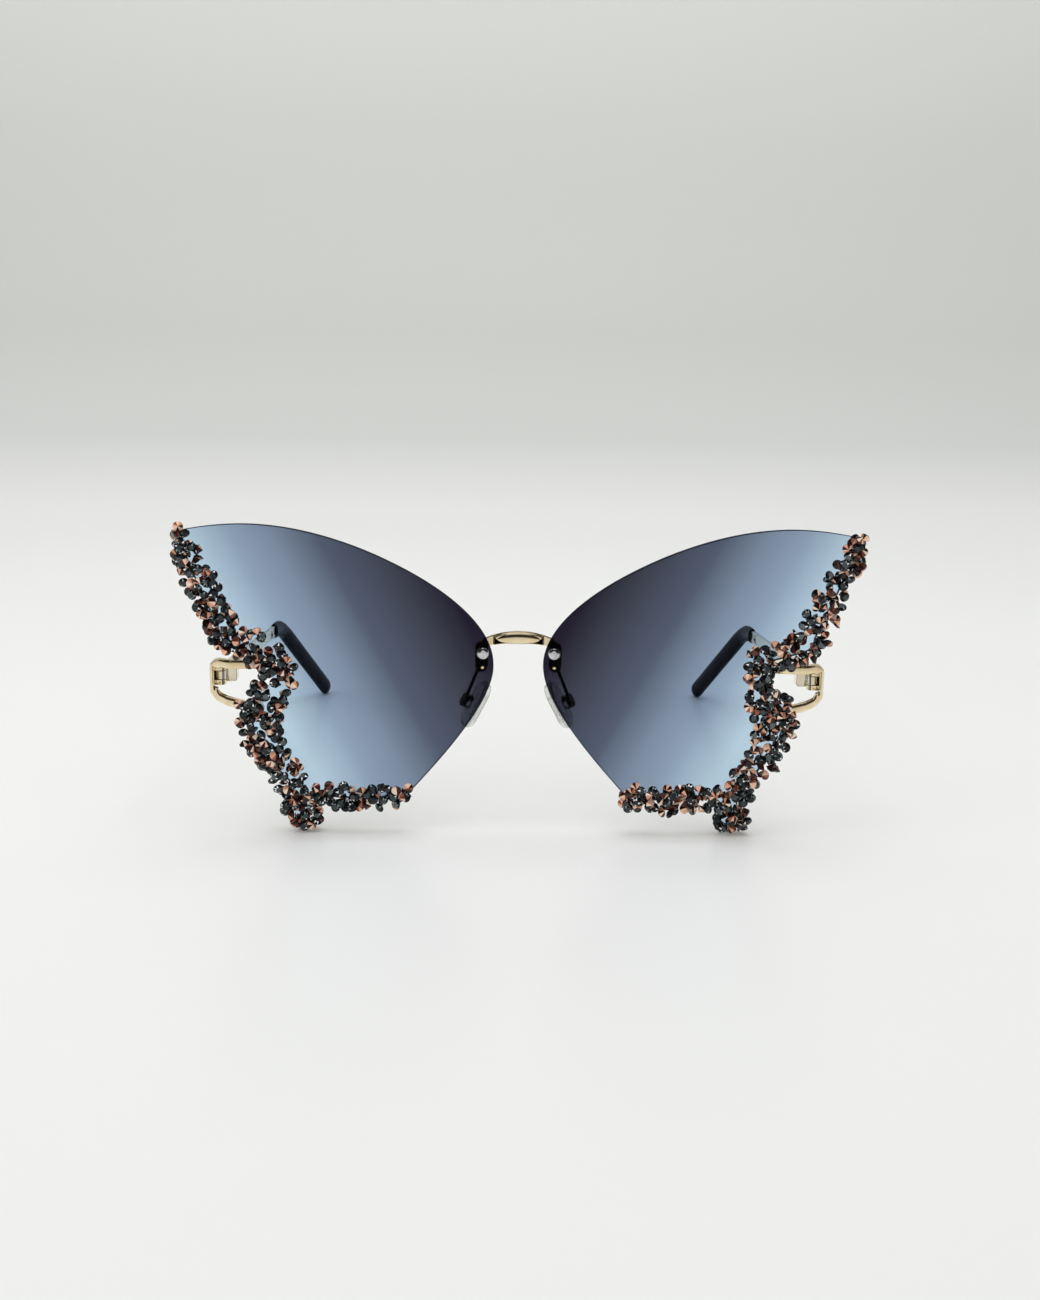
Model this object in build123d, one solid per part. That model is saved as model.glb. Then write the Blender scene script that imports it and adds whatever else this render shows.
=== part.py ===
from build123d import *

import math
import os
import random

import numpy as np

# Rimless butterfly sunglasses with a crusted crystal edge, standing open on the tails of the lenses
# and on the temple tips. Millimetres. X runs to the wearer's left, as seen from in front to the
# right, Y runs back towards the ears, Z is up. The wearer's left half (+X) is modelled and mirrored.

# Lenses
lens_gap = 12.0
lens_width = 75.2
lens_height = 73.9
lens_thickness = 2.0
lens_curve_radius = 265.0
lens_hole_diameter = 1.5
optical_centre_share = (0.50, 0.54)

# Crystals
stone_diameter = 2.45
stone_sides = 5
stone_table_share = 0.50
stone_crown_share = 0.20
stone_pavilion_share = 0.47
stone_gap = 0.03
stone_seat_gap = 0.06
band_width = 5.2
band_overhang = 1.3

# Crystal laying
walk_steps = 24
ground_gap = 0.25
rim_tries = 600
front_tries = 1100
pile_tries = 20
pile_level_shares = (0.15, 0.30, 0.45, 0.60)
rim_level_shares = (-0.35, 0.85)
rim_away_shares = (0.5, 1.1)
head_body_sides = 8
stretch_end_shares = (("wing", 0.27), ("bay", 0.47), ("side", 0.66), ("tail", 0.83), ("hem", 1.0))

# Screws, nuts and washers of the drilled mounts, whose small rounds have a few flats
small_round_sides = 12
wire_sides = 8
screw_diameter = 1.4
screw_head_diameter = 2.8
screw_head_height = 0.9
edge_head_diameter = 2.4
edge_head_height = 0.6
head_rim_share = 0.33
head_crown_share = 0.55
washer_thickness = 0.25
washer_overhang = 0.15
nut_width = 2.3
nut_height = 0.9
seat_gap = 0.05
running_gap = 0.05

# Bridge
bridge_screw_from_edge = 2.65
bridge_screw_height_share = 0.5886
bridge_peg_drop = 3.55
bridge_peg_diameter = 1.0
bridge_thickness = 1.2
bridge_crown_lift = 5.0
bridge_rise = 2.0
bridge_middle_depth = 3.0
bridge_end_depth = 2.1
bridge_bow = 0.35
lug_width = 3.2
lug_foot = 1.6
lug_top_share = 0.75
bridge_plate_length = 11.4
bridge_plate_depth = 2.5
bridge_plate_relief = 0.5

# Nose pads
pad_box_from_edge = 6.6
pad_box_back = 9.4
pad_box_drop = 13.6
pad_frontal_angle = 27.0
pad_splay_angle = 14.0
pad_length = 13.0
pad_width = 7.4
pad_thickness = 2.2
pad_arm_diameter = 0.9
pad_arm_reach = 3.2
pad_arm_bend_radius = 1.3
pad_box_length = 3.2
pad_box_width = 2.8
pad_box_depth = 2.2
pad_stem_thickness = 1.0
pad_stem_width = 1.4
pad_box_wall = 0.4
pad_box_corner_share = 0.20
pad_belly_share = 0.45
pad_skin_taper = 28.0
pad_box_taper = 32.0
pad_screw_diameter = 0.8
pad_screw_head_diameter = 1.5
pad_screw_head_height = 0.35
pad_rock_gap = 0.45

# End pieces
endpiece_thickness = 1.15
endpiece_width = 2.4
endpiece_tab_radius = 1.6
endpiece_out_share = 0.9255
upper_tab_share = (0.6782, 0.5426)
lower_tab_share = (0.7606, 0.3897)

# Hinges
hinge_back = 10.6
hinge_side_gap = 0.06
knuckle_radius = 1.3
knuckle_gap = 0.1
hinge_screw_diameter = 1.1
hinge_head_diameter = 2.0
hinge_head_height = 0.5
hinge_stop_length = 3.0
block_gap = 0.15
block_lift = 0.05
block_corner_share = 0.125
temple_drop = 0.5

# Heights of the loop and its knuckles, as shares of the way up from the lower tab to the upper one
knuckle_low_share = 0.389
knuckle_middle_share = 0.504
knuckle_high_share = 0.699
knuckle_top_share = 0.814
upper_arm_share = 0.947

# Temples
temple_height = 4.2
temple_thickness = 1.3
temple_end_height = 3.4
temple_end_thickness = 1.1
hinge_block_width = 3.6
hinge_block_length = 3.4
hinge_block_height = 3.5
temple_bend_in = 3.7
temple_bend_back = 104.0
temple_fall = 7.5
temple_end_in = 13.7
temple_end_back = 134.8
temple_bend_radius = 16.0
temple_slot_length = 4.6
temple_slot_height = 2.2
temple_slot_depth = 0.35
temple_slot_back = 86.0

# Temple tips
tip_start_back = 93.0
tip_height = 5.2
tip_mouth_height = 4.5
tip_thickness = 3.4
tip_mouth_thickness = 2.5
core_height = 2.2
core_thickness = 0.9
core_end_share = 0.72
sleeve_gap = 0.05
tip_swell_share = 0.35
tip_station_shares = (0.0, 0.10, 0.175, 0.25, 0.33, 1.0)
tip_toe_shares = (0.45, 0.78, 0.97)
tip_sides = 16

# Derived places
stone_radius = stone_diameter / 2
stone_height = stone_diameter * (stone_crown_share + stone_pavilion_share)
tail_rise = stone_height + stone_seat_gap
lens_edge = lens_gap / 2
optical_x = lens_edge + lens_width * optical_centre_share[0]
optical_z = tail_rise + lens_height * optical_centre_share[1]
curve_centre = Vector(optical_x, lens_curve_radius, optical_z)
back_radius = lens_curve_radius - lens_thickness
bridge_screw_x = lens_edge + bridge_screw_from_edge
bridge_screw_height = tail_rise + lens_height * bridge_screw_height_share
bridge_peg_height = bridge_screw_height - bridge_peg_drop
bridge_crown_height = bridge_screw_height + bridge_crown_lift
pad_box_out = lens_edge + pad_box_from_edge
pad_box_up = bridge_screw_height - pad_box_drop
upper_tab_height = tail_rise + lens_height * upper_tab_share[1]
lower_tab_height = tail_rise + lens_height * lower_tab_share[1]
upper_tab_spot = (lens_edge + lens_width * upper_tab_share[0], upper_tab_height)
lower_tab_spot = (lens_edge + lens_width * lower_tab_share[0], lower_tab_height)
tab_rise = upper_tab_height - lower_tab_height
upper_arm_height = lower_tab_height + tab_rise * upper_arm_share
knuckle_low = lower_tab_height + tab_rise * knuckle_low_share
knuckle_middle = lower_tab_height + tab_rise * knuckle_middle_share
knuckle_high = lower_tab_height + tab_rise * knuckle_high_share
knuckle_top = lower_tab_height + tab_rise * knuckle_top_share
endpiece_out = lens_edge + lens_width * endpiece_out_share
hinge_out = endpiece_out - endpiece_thickness - hinge_side_gap - knuckle_radius
temple_start_height = (knuckle_middle + knuckle_high) / 2 - temple_drop
temple_bend_out = endpiece_out - temple_bend_in
temple_bend_up = temple_start_height - temple_fall
temple_end_out = endpiece_out - temple_end_in

# Outline of the left lens, as shares of its width and height from the nasal foot corner of its box.
# Runs of four points are Bezier curves, runs of three are arcs through them and runs of two are lines.
wing_tip_share = (1.000, 0.974)
brow_shares = (wing_tip_share, (0.930, 0.990), (0.855, 1.000), (0.785, 1.000))
brow_slope_shares = ((0.785, 1.000), (0.649, 1.000), (0.511, 0.965), (0.386, 0.911))
nose_top_shares = ((0.386, 0.911), (0.157, 0.811), (0.000, 0.673), (0.000, 0.543))
nose_low_shares = ((0.000, 0.543), (0.000, 0.423), (0.167, 0.230), (0.278, 0.101))
hem_shares = ((0.278, 0.101), (0.412, 0.088), (0.556, 0.097))
tail_inner_shares = ((0.556, 0.097), (0.590, 0.082), (0.600, 0.040))
tail_foot_shares = ((0.600, 0.040), (0.621, 0.000), (0.643, 0.040))
tail_outer_shares = ((0.643, 0.040), (0.648, 0.095), (0.662, 0.148))
side_shares = ((0.662, 0.148), (0.752, 0.240), (0.785, 0.300), (0.783, 0.421))
bay_foot_shares = ((0.783, 0.421), (0.736, 0.462))
bay_shares = ((0.736, 0.462), (0.703, 0.521), (0.741, 0.578))
bay_roof_shares = ((0.741, 0.578), (0.838, 0.604))
wing_corner_shares = ((0.838, 0.604), (0.860, 0.619), (0.868, 0.645))
wing_shares = ((0.868, 0.645), (0.904, 0.735), (0.985, 0.885), wing_tip_share)
bare_edge_shares = (brow_shares, brow_slope_shares, nose_top_shares, nose_low_shares)
crusted_edge_shares = (
    hem_shares,
    tail_inner_shares,
    tail_foot_shares,
    tail_outer_shares,
    side_shares,
    bay_foot_shares,
    bay_shares,
    bay_roof_shares,
    wing_corner_shares,
    wing_shares,
)

# Width of the crystal band along that edge, from the wing tip round to the nasal end: share of the way,
# and share of the band's nominal width
band_width_shares = (
    (0.00, 0.45),
    (0.10, 0.85),
    (0.20, 1.00),
    (0.27, 1.10),
    (0.33, 0.90),
    (0.40, 0.95),
    (0.46, 1.60),
    (0.52, 1.25),
    (0.60, 0.95),
    (0.68, 0.70),
    (0.80, 0.55),
    (0.88, 0.70),
    (1.00, 0.55),
)


def lens_spot(x, z, depth=0.0):
    """Plane on the lens at (x, z), a depth below its front, with local Z out of the front and Y up."""
    across = x - optical_x
    up = z - optical_z
    forward = -math.sqrt(lens_curve_radius**2 - across**2 - up**2)
    out = Vector(across, forward, up) / lens_curve_radius
    spot = curve_centre + out * (lens_curve_radius - depth)
    sideways = Vector(1, 0, 0) - out * out.X
    return Plane(origin=spot, x_dir=sideways, z_dir=out)


def outline_point(share):
    """Place on the lens outline, in the flat front view."""
    return (lens_edge + lens_width * share[0], tail_rise + lens_height * share[1])


def outline_edge(shares):
    """One edge of the lens outline: a line, an arc or a Bezier curve by its number of points."""
    points = [outline_point(share) for share in shares]
    kinds = {2: Line, 3: ThreePointArc, 4: Bezier}
    return kinds[len(points)](*points)


def outline_edges():
    """The left lens outline, one edge for each stretch, from the wing tip over the brow."""
    return [outline_edge(shares) for shares in (*bare_edge_shares, *crusted_edge_shares)]


def front_prism(face, near, far):
    """A front-view face pushed through from Y = near to Y = far."""
    return Pos(0, near, 0) * extrude(Plane.XZ * face, amount=near - far)


def small_pin(diameter, height):
    """Upright pin with a few flats, its corners on the circle of that diameter."""
    return extrude(RegularPolygon(diameter / 2, small_round_sides), amount=height / 2, both=True)


def small_hole(diameter, height):
    """Upright tool for a hole with a few flats, each touching the circle of that diameter."""
    face = RegularPolygon(diameter / 2, small_round_sides, major_radius=False)
    return extrude(face, amount=height / 2, both=True)


def drill(x, z, diameter):
    """A hole square to the lens, long enough for the whole stack of parts there."""
    length = lens_thickness + 2 * bridge_thickness + 2 * nut_height
    return lens_spot(x, z, lens_thickness / 2) * small_hole(diameter, length)


def make_lens():
    """Drilled meniscus lens of one thickness."""
    face = make_face(outline_edges())
    depth = lens_thickness * 5
    blank = front_prism(face, -depth, 2 * depth)
    centre = Location(curve_centre)
    lens = blank & (centre * Sphere(lens_curve_radius)) - centre * Sphere(back_radius)
    lens -= drill(bridge_screw_x, bridge_screw_height, lens_hole_diameter)
    lens -= drill(bridge_screw_x, bridge_peg_height, bridge_peg_diameter + 2 * running_gap)
    lens -= drill(*upper_tab_spot, lens_hole_diameter)
    lens -= drill(*lower_tab_spot, lens_hole_diameter)
    return lens


def domed_head(diameter, height):
    """Low crowned screw head on local Z = 0."""
    rim = height * head_rim_share
    crown = height - rim
    top = diameter / 2 * head_crown_share
    band = Pos(0, 0, rim / 2) * Cylinder(diameter / 2, rim)
    return band + Pos(0, 0, rim + crown / 2) * Cone(diameter / 2, top, crown)


def flat_head(diameter, height):
    """Flat screw head on local Z = 0, for the screws that the crystals hide."""
    return Pos(0, 0, height / 2) * small_pin(diameter, height)


def ring(outer_diameter, inner_diameter, height):
    """A flat ring standing on local Z = 0."""
    return Pos(0, 0, height / 2) * (small_pin(outer_diameter, height) - small_hole(inner_diameter, height))


def cap_nut():
    """Hexagon nut hanging below local Z = 0, bored for the screw."""
    radius = nut_width / math.sqrt(3)
    body = extrude(RegularPolygon(radius, 6), amount=-nut_height)
    return body - Pos(0, 0, -nut_height / 2) * small_hole(screw_diameter + 2 * running_gap, nut_height)


def mount_stack(x, z, head, head_diameter, plate_thickness):
    """Screw, washer and nut that clamp a plate behind the lens at (x, z)."""
    reach = washer_thickness + lens_thickness + 2 * seat_gap + plate_thickness + nut_height
    face = lens_spot(x, z)
    shank = Pos(0, 0, -reach / 2) * small_pin(screw_diameter, reach)
    screw = face * Pos(0, 0, washer_thickness) * (head + shank)
    washer_diameter = head_diameter + 2 * washer_overhang
    hole = screw_diameter + 2 * running_gap
    washer = face * ring(washer_diameter, hole, washer_thickness)
    nut_face = lens_spot(x, z, lens_thickness + 2 * seat_gap + plate_thickness)
    nut = nut_face * cap_nut()
    return screw, washer, nut


def seat_sphere():
    """Everything that lies behind the lens, clear of its back by the seating gap."""
    return Location(curve_centre) * Sphere(back_radius - seat_gap)


def make_lug():
    """Flat lug behind the lens, with its hole for the screw and its peg in the second lens hole."""
    top = lug_width * lug_top_share
    foot = -bridge_peg_drop - lug_foot
    length = top - foot
    spot = lens_spot(bridge_screw_x, bridge_screw_height, lens_thickness)
    plate = extrude(SlotOverall(length, lug_width, rotation=90), amount=bridge_thickness + seat_gap)
    back = -bridge_thickness - seat_gap
    lug = (spot * Pos(0, (top + foot) / 2, back) * plate) & seat_sphere()
    peg_spot = lens_spot(bridge_screw_x, bridge_peg_height, lens_thickness + bridge_thickness / 2)
    peg_length = lens_thickness + bridge_thickness / 2
    return lug, peg_spot * Pos(0, 0, peg_length / 2) * small_pin(bridge_peg_diameter, peg_length)


def make_bridge():
    """Arched bar between the lugs, with a raised oval plate across its middle."""
    lug, peg = make_lug()
    end_x = bridge_screw_x
    end_top = bridge_crown_height - bridge_rise
    end_low = end_top - bridge_end_depth
    middle_low = bridge_crown_height - bridge_middle_depth
    top = ThreePointArc((-end_x, end_top), (0, bridge_crown_height), (end_x, end_top))
    low = ThreePointArc((-end_x, end_low), (0, middle_low), (end_x, end_low))
    sides = [Line((side * end_x, end_top), (side * end_x, end_low)) for side in (-1, 1)]
    front = make_face([*top.edges(), *low.edges(), *sides])
    back_y = lens_spot(end_x, end_top, lens_thickness + seat_gap).origin.Y + bridge_thickness
    near = ThreePointArc(
        (-end_x, back_y - bridge_thickness),
        (0, back_y - bridge_thickness - bridge_bow),
        (end_x, back_y - bridge_thickness),
    )
    far = ThreePointArc((-end_x, back_y), (0, back_y - bridge_bow), (end_x, back_y))
    ends = [Line((side * end_x, back_y - bridge_thickness), (side * end_x, back_y)) for side in (-1, 1)]
    plan = make_face([*near.edges(), *far.edges(), *ends])
    tall = Pos(0, 0, end_low - bridge_middle_depth) * extrude(plan, amount=3 * bridge_middle_depth)
    bar = front_prism(front, 0, 2 * back_y) & tall
    between = Box(2 * (lens_edge - seat_gap), 4 * back_y, 4 * bridge_crown_height)
    end = bar & seat_sphere() & Pos(lens_edge, 0, 0) * Box(lens_edge, 4 * back_y, 4 * bridge_crown_height)
    bar = (bar & between) + end + mirror(end, about=Plane.YZ)
    plate_height = (bridge_crown_height + middle_low) / 2
    plate_face = Ellipse(bridge_plate_length / 2, bridge_plate_depth / 2)
    plate_front = back_y - bridge_thickness - bridge_bow - bridge_plate_relief
    plate = front_prism(Pos(0, plate_height) * plate_face, plate_front, back_y - bridge_thickness)
    bridge = bar + plate
    for piece in (lug, peg):
        bridge = bridge + piece + mirror(piece, about=Plane.YZ)
    hole = drill(bridge_screw_x, bridge_screw_height, screw_diameter + 2 * running_gap)
    return bridge - hole - mirror(hole, about=Plane.YZ)


def pad_frame(turn=0.0):
    """Plane at the pad box: local Z faces the nose, local X runs up the pad, local Y crosses it."""
    slope = math.radians(pad_frontal_angle)
    splay = math.radians(pad_splay_angle)
    along = Vector(-math.sin(slope), 0, math.cos(slope))
    flat = Vector(-math.cos(slope), 0, -math.sin(slope))
    back = Vector(0, 1, 0)
    facing = flat * math.cos(splay) + back * math.sin(splay)
    return Plane(origin=(pad_box_out, pad_box_back, pad_box_up), x_dir=along, z_dir=facing)


def make_pad_arm():
    """Wire from the back of the lug, swung back and down to the box that holds the pad."""
    start = lens_spot(
        bridge_screw_x, bridge_peg_height, lens_thickness + bridge_thickness + 2 * seat_gap
    ).origin
    back = start + Vector(0, pad_arm_reach, 0)
    frame = pad_frame()
    box_top_height = (pad_box_length - pad_box_wall) / 2
    box_top = frame.origin + frame.x_dir * box_top_height - frame.z_dir * (pad_box_depth / 4)
    path = FilletPolyline(start, back, box_top, radius=pad_arm_bend_radius)
    section = RegularPolygon(pad_arm_diameter / 2, wire_sides)
    wire = sweep(Plane(origin=start, z_dir=(0, 1, 0)) * section, path=path)
    body = Box(pad_box_length, pad_box_width, pad_box_depth)
    body = chamfer(body.edges().filter_by(Axis.Z), pad_box_width * pad_box_corner_share)
    slot_depth = pad_box_depth / 2 + pad_stem_width / 2 + 2 * running_gap
    slot_width = pad_stem_thickness + 2 * running_gap
    slot_length = pad_box_length - 2 * pad_box_wall
    slot = Pos(0, 0, (pad_box_depth - slot_depth) / 2) * Box(slot_length, slot_width, slot_depth)
    bore = Rot(90, 0, 0) * small_hole(pad_screw_diameter + 2 * running_gap, pad_box_width)
    return wire + frame * (body - slot) - frame * bore


def make_pad_screw():
    """Cross screw of the pad box, with its head towards the front."""
    shank_length = pad_box_width
    shank = Rot(90, 0, 0) * small_pin(pad_screw_diameter, shank_length)
    head_middle = -pad_box_width / 2 - pad_screw_head_height / 2
    head = Pos(0, head_middle, 0) * Rot(90, 0, 0) * small_pin(pad_screw_head_diameter, pad_screw_head_height)
    return pad_frame() * (shank + head)


def make_pad():
    """Soft clear pad, a pebble with a stem that the box grips."""
    face_offset = pad_box_depth / 2 + pad_rock_gap
    outline = SlotOverall(pad_length, pad_width)
    belly = pad_thickness * pad_belly_share
    skin_side = extrude(outline, amount=pad_thickness - belly, taper=pad_skin_taper)
    box_side = extrude(outline, amount=-belly, taper=pad_box_taper)
    pebble = Pos(0, 0, face_offset + belly) * (skin_side + box_side)
    neck = face_offset + pad_thickness / 2
    profile = Circle(pad_stem_width / 2) + Pos(0, neck / 2) * Rectangle(pad_stem_width, neck)
    stem = extrude(Plane.XZ * profile, amount=pad_stem_thickness / 2, both=True)
    bore = Rot(90, 0, 0) * small_hole(pad_screw_diameter + 2 * running_gap, 2 * pad_stem_thickness)
    return pad_frame() * (pebble + stem - bore)


def endpiece_outline():
    """Front view of the loop: two tabs joined round the hinge side."""
    half = endpiece_width / 2
    middle = endpiece_out - half
    lower_foot = lower_tab_spot[1] + endpiece_width
    corners = (upper_tab_spot, (middle, upper_arm_height), (middle, lower_foot), lower_tab_spot)
    path = FilletPolyline(*corners, radius=endpiece_width)
    band = trace(path, endpiece_width)
    tabs = Pos(*upper_tab_spot) * RegularPolygon(endpiece_tab_radius, small_round_sides)
    tabs += Pos(*lower_tab_spot) * RegularPolygon(endpiece_tab_radius, small_round_sides)
    window_height = knuckle_top - knuckle_low
    window = Pos(middle - endpiece_thickness, knuckle_low + window_height / 2)
    return band + tabs - window * Rectangle(endpiece_width, window_height)


def make_endpiece():
    """Strip bent back round the corner, cut to the loop's outline, with two hinge knuckles."""
    half = endpiece_thickness / 2
    tab = lens_spot(*upper_tab_spot, lens_thickness).origin
    low_tab = lens_spot(*lower_tab_spot, lens_thickness).origin
    spine_x = endpiece_out - half
    spine_end = hinge_back + hinge_stop_length
    slope = (low_tab.Y - tab.Y) / (low_tab.X - tab.X)
    reach = endpiece_tab_radius * 2
    start = (tab.X - reach, tab.Y + half - slope * reach)
    knee_x = hinge_out - 2 * knuckle_radius
    knee = (knee_x, tab.Y + half + slope * (knee_x - tab.X))
    shoulder = (spine_x, hinge_back - 2 * knuckle_radius)
    bend = FilletPolyline(start, knee, shoulder, (spine_x, spine_end), radius=knuckle_radius * 2)
    strip = extrude(trace(bend, endpiece_thickness), amount=2 * upper_arm_height)
    loop = front_prism(endpiece_outline(), 0, 2 * spine_end) & strip
    loop &= seat_sphere()
    spine_cut = Pos(spine_x, spine_end, knuckle_low / 2)
    reach_back = 2 * (spine_end - hinge_back + knuckle_radius)
    low_part = spine_cut * Box(3 * endpiece_thickness, reach_back, knuckle_low)
    high_part = Pos(0, 0, knuckle_low / 2 + knuckle_top) * Pos(spine_x, spine_end, 0) * Box(
        3 * endpiece_thickness, reach_back, knuckle_low
    )
    loop = loop - low_part - high_part
    web = spine_x - hinge_out
    for bottom, top in ((knuckle_low, knuckle_middle - knuckle_gap), (knuckle_high + knuckle_gap, knuckle_top)):
        height = top - bottom
        lift = Pos(hinge_out, hinge_back, bottom + height / 2)
        loop += lift * Cylinder(knuckle_radius, height)
        loop += lift * Pos(web / 2, 0, 0) * Box(web, 2 * knuckle_radius, height)
    bore = small_hole(hinge_screw_diameter + 2 * running_gap, 4 * (knuckle_top - knuckle_low))
    bore = Pos(hinge_out, hinge_back, knuckle_low) * bore
    screw_hole = screw_diameter + 2 * running_gap
    return loop - bore - drill(*upper_tab_spot, screw_hole) - drill(*lower_tab_spot, screw_hole)


def make_hinge_screw():
    """Upright pin screw with a flat head on the top knuckle."""
    length = knuckle_top - knuckle_low
    shank = Pos(0, 0, length / 2) * small_pin(hinge_screw_diameter, length)
    head = Pos(0, 0, length + hinge_head_height / 2) * Cylinder(hinge_head_diameter / 2, hinge_head_height)
    return Pos(hinge_out, hinge_back, knuckle_low) * (shank + head)


def temple_start():
    """Middle of the bar's front end, just behind the knuckles."""
    out = hinge_out + knuckle_radius - temple_thickness / 2
    return Vector(out, hinge_back + knuckle_radius + block_gap, temple_start_height)


def temple_path():
    """Centre line of the temple, straight to the ear bend and straight down to the tip."""
    bend = Vector(temple_bend_out, temple_bend_back, temple_bend_up)
    end = Vector(temple_end_out, temple_end_back, tip_height / 2)
    return FilletPolyline(temple_start(), bend, end, radius=temple_bend_radius)


def temple_station(path, length, beyond=0.0):
    """Plane across the temple at a length along its centre line, with local Y up and X sideways."""
    share = length / path.length
    ahead = path.tangent_at(share)
    sideways = Vector(ahead.Y, -ahead.X, 0).normalized()
    return Plane(origin=path.position_at(share) + ahead * beyond, x_dir=sideways, z_dir=-ahead)


def sleeve_start_length():
    """Length along the centre line where the tip sleeve begins."""
    start = temple_start()
    bend = Vector(temple_bend_out, temple_bend_back, temple_bend_up)
    run = bend - start
    return run.length * (tip_start_back - start.Y) / run.Y


def core_solid(spare):
    """Core inside the sleeve, or its hole when spare is the gap round it."""
    path = temple_path()
    begin = sleeve_start_length()
    sections = []
    for share in (*[share for share in tip_station_shares if share < core_end_share], core_end_share):
        spot = temple_station(path, begin + (path.length - begin) * share, spare * share)
        sections.append(spot * Rectangle(core_thickness + 2 * spare, core_height + 2 * spare))
    return loft(sections, ruled=True)


def make_temple():
    """Flat bar with its hinge block and knuckle in front and its core behind."""
    path = temple_path()
    begin = sleeve_start_length()
    front = temple_station(path, 0)
    joint = temple_station(path, begin)
    bar = loft(
        [
            Plane(origin=front.origin, x_dir=(1, 0, 0), z_dir=(0, -1, 0))
            * Rectangle(temple_thickness, temple_height),
            joint * Rectangle(temple_end_thickness, temple_end_height),
        ],
        ruled=True,
    )
    inner_face = front.origin.X - temple_thickness / 2
    block_middle = Vector(
        inner_face - hinge_block_width / 2,
        front.origin.Y + hinge_block_length / 2,
        front.origin.Z + block_lift,
    )
    block = Box(hinge_block_width + temple_thickness, hinge_block_length, hinge_block_height)
    block = chamfer(block.edges().filter_by(Axis.Y), hinge_block_height * block_corner_share)
    block = Location(block_middle + Vector(temple_thickness / 2, 0, 0)) * block
    knuckle_height = knuckle_high - knuckle_middle
    knuckle_spot = Pos(hinge_out, hinge_back, knuckle_middle + knuckle_height / 2)
    knuckle = knuckle_spot * Cylinder(knuckle_radius, knuckle_height)
    web_length = front.origin.Y - hinge_back + block_gap
    web = knuckle_spot * Pos(0, web_length / 2, 0) * Box(2 * knuckle_radius, web_length, knuckle_height)
    bore = knuckle_spot * small_hole(hinge_screw_diameter + 2 * running_gap, 2 * knuckle_height)
    slot_spot = temple_station(path, begin - (tip_start_back - temple_slot_back))
    side = temple_end_thickness / 2
    slot = extrude(SlotOverall(temple_slot_length, temple_slot_height), amount=temple_slot_depth, both=True)
    slot = slot_spot * Pos(-side, 0, 0) * Rot(0, 90, 0) * slot
    return bar + core_solid(0) + block + knuckle + web - bore - slot


def tip_section(thickness, height):
    """Oval cross-section of the tip with a few flats, upright on local Y."""
    points = []
    for side in range(tip_sides):
        angle = 2 * math.pi * side / tip_sides
        points.append((thickness / 2 * math.cos(angle), height / 2 * math.sin(angle)))
    return Polygon(*points, align=None)


def make_tip():
    """Sleeve that swells from its mouth, follows the ear bend and ends in a rounded toe."""
    path = temple_path()
    begin = sleeve_start_length()
    run = path.length - begin
    sections = []
    for share in tip_station_shares:
        swell = min(1.0, share / tip_swell_share)
        thickness = tip_mouth_thickness + (tip_thickness - tip_mouth_thickness) * swell
        height = tip_mouth_height + (tip_height - tip_mouth_height) * swell
        spot = temple_station(path, begin + run * share)
        sections.append(spot * tip_section(thickness, height))
    for share in tip_toe_shares:
        size = math.sqrt(1 - share**2)
        spot = temple_station(path, path.length, tip_height / 2 * share)
        sections.append(spot * tip_section(tip_thickness * size, tip_height * size))
    return loft(sections, ruled=True) - core_solid(sleeve_gap)


def stone_points():
    """Corners of one chaton about its girdle centre: table, girdle and the point of its back."""
    points = []
    for ring_share, height_share in ((stone_table_share, stone_crown_share), (1, 0)):
        for corner in range(stone_sides):
            angle = 2 * math.pi * corner / stone_sides
            radius = stone_radius * ring_share
            height = stone_diameter * height_share
            points.append((radius * math.cos(angle), radius * math.sin(angle), height))
    points.append((0, 0, -stone_diameter * stone_pavilion_share))
    return np.array(points)


def stone_faces():
    """Corner numbers of each face of the chaton, seen from outside."""
    table = [tuple(range(stone_sides))]
    crown = []
    back = []
    for corner in range(stone_sides):
        following = (corner + 1) % stone_sides
        crown.append((following, corner, corner + stone_sides, following + stone_sides))
        back.append((following + stone_sides, corner + stone_sides, 2 * stone_sides))
    return table + crown + back


def stone_normals(points):
    """Outward direction of each face."""
    normals = []
    for face in stone_faces():
        a, b, c = (points[corner] for corner in face[:3])
        normal = np.cross(b - a, c - a)
        normal /= np.linalg.norm(normal)
        if normal @ a < 0:
            normal = -normal
        normals.append(normal)
    return np.array(normals)


def make_stone():
    """The chaton as a solid."""
    points = stone_points()
    faces = []
    for corners in stone_faces():
        faces.append(Face(Wire.make_polygon([tuple(points[corner]) for corner in corners])))
    return Solid(Shell(faces))


def turned(axis, spin):
    """Rotation matrix whose third column is the stone's own axis."""
    axis = axis / np.linalg.norm(axis)
    helper = np.array([1.0, 0, 0]) if abs(axis[0]) < 0.8 else np.array([0, 1.0, 0])
    first = np.cross(helper, axis)
    first /= np.linalg.norm(first)
    second = np.cross(axis, first)
    cosine, sine = math.cos(spin), math.sin(spin)
    return np.column_stack([first * cosine + second * sine, second * cosine - first * sine, axis])


class Placed:
    """One convex body in its place: its corners, its face directions and its reach from the middle."""

    def __init__(self, middle, turn, points, normals):
        self.middle = middle
        self.turn = turn
        self.corners = points @ turn.T + middle
        self.normals = normals @ turn.T
        self.reach = np.linalg.norm(points, axis=1).max()

    def clear_of(self, other, gap):
        """True where some flat sheet parts the two by at least the gap."""
        between = other.middle - self.middle
        distance = np.linalg.norm(between)
        if distance > self.reach + other.reach + gap:
            return True
        axes = np.vstack([self.normals, other.normals, between / distance])
        mine = self.corners @ axes.T
        theirs = other.corners @ axes.T
        ahead = theirs.min(axis=0) - mine.max(axis=0)
        behind = mine.min(axis=0) - theirs.max(axis=0)
        return bool((np.maximum(ahead, behind) > gap).any())


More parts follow.
